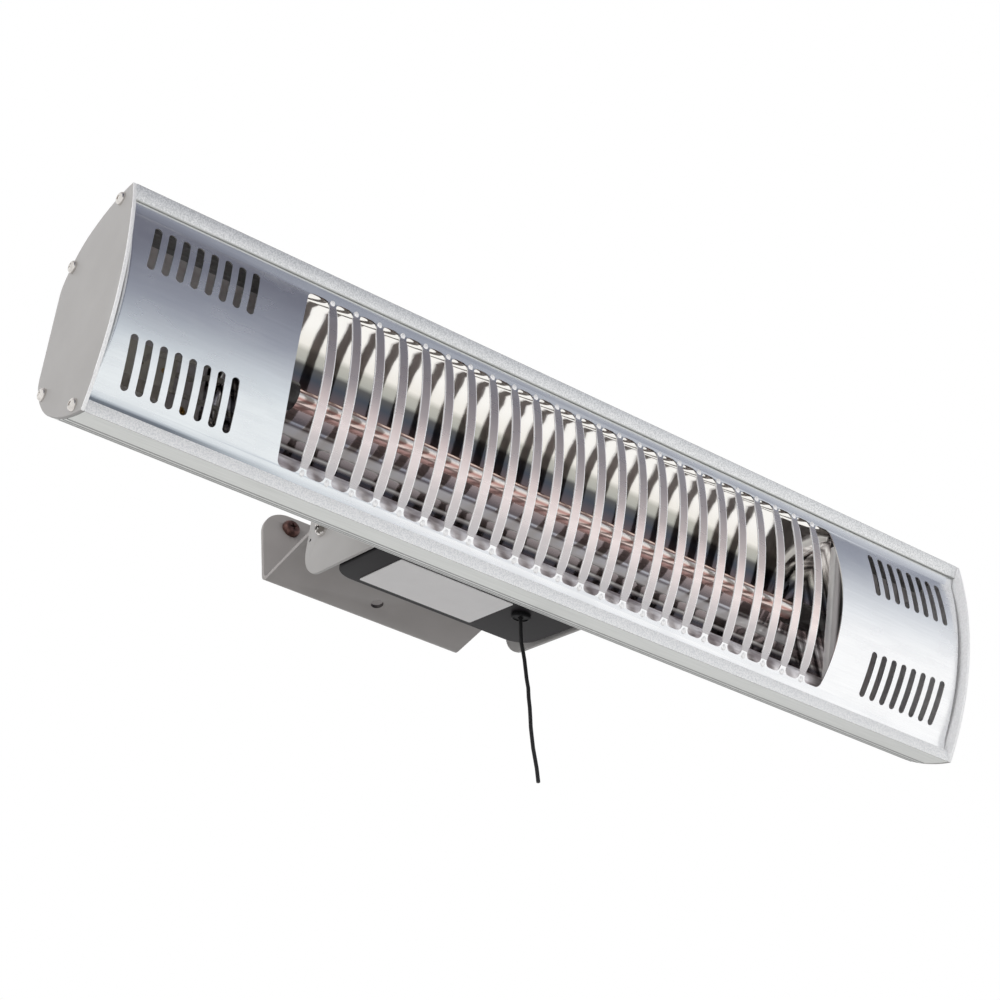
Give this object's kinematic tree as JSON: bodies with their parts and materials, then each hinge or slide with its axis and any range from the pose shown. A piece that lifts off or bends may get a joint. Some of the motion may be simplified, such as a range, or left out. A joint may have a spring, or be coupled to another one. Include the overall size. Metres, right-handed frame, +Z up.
{
  "type": "electric bar heater",
  "caption": "Wall-hung electric bar heater: slotted steel front over a quartz tube and mirror trough, in a long silver housing that tilts on a bracket and has a pull cord.",
  "frame": {"origin": "on the wall face, midway between the two wall screws", "axes": "+X along the heater, +Y back into the wall, +Z up"},
  "size_m": [0.5972, 0.2656, 0.2335],
  "materials": {
    "shell_silver": "blasted satin",
    "cap_grey": "matte",
    "stainless": "brushed",
    "mirror_sheet": "mirror polished",
    "quartz": "clear with a copper tint",
    "coil_metal": "dark wound coil",
    "ceramic": "unglazed ceramic",
    "bright_steel": "bright plated",
    "brown_zinc": "brown plated",
    "grey_paint": "powder coated",
    "charcoal": "fine texture",
    "black_plastic": "matte",
    "label_grey": "satin, blank",
    "wire_white": "glass braid",
    "block_ivory": "moulded",
    "brass": "plain",
    "plunger_white": "moulded",
    "cord_black": "braided"
  },
  "bodies": {
    "bracket": {"wall_bracket": "grey_paint", "wall_screws": "brown_zinc", "pivot_bolts": "bright_steel", "pivot_nuts": "bright_steel", "lug_washers": "black_plastic"},
    "head": {"housing_shell": "shell_silver", "left_end_cap": "cap_grey", "right_end_cap": "cap_grey", "end_cap_screws": "bright_steel", "front_panel": "stainless", "reflector": "mirror_sheet", "left_reflector_end": "mirror_sheet", "right_reflector_end": "mirror_sheet", "reflector_screws": "bright_steel", "heating_tube": "quartz", "tube_filament": "coil_metal", "left_tube_ceramic": "ceramic", "right_tube_ceramic": "ceramic", "left_tube_clip": "bright_steel", "right_tube_clip": "bright_steel", "clip_screws": "bright_steel", "left_lead": "wire_white", "right_lead": "wire_white", "switch_leads": "wire_white", "terminal_block": "block_ivory", "terminal_screws": "brass", "earth_screw": "brass", "housing_bush": "black_plastic", "mounting_yoke": "grey_paint", "yoke_screws": "bright_steel", "switch_box": "charcoal", "switch_box_lid": "charcoal", "lid_screws": "bright_steel", "label_plate": "label_grey", "cable_gland": "black_plastic", "gland_nut": "black_plastic", "pull_switch": "black_plastic", "switch_nut": "bright_steel", "cord_grommet": "black_plastic"},
    "pull": {"switch_plunger": "plunger_white", "pull_cord": "cord_black"}
  },
  "joints": [
    {"name": "head_tilt", "type": "hinge", "parent": "bracket", "child": "head", "pos_m": [0, -0.073, -0.061], "axis": [1, 0, 0], "range_deg": [-20, 25]},
    {"name": "cord_pull", "type": "slide", "parent": "head", "child": "pull", "axis": [0, 0.342, -0.9397], "range_m": [0, 0.006], "stiffness_N_per_m": 300, "springref_m": -0.004}
  ]
}
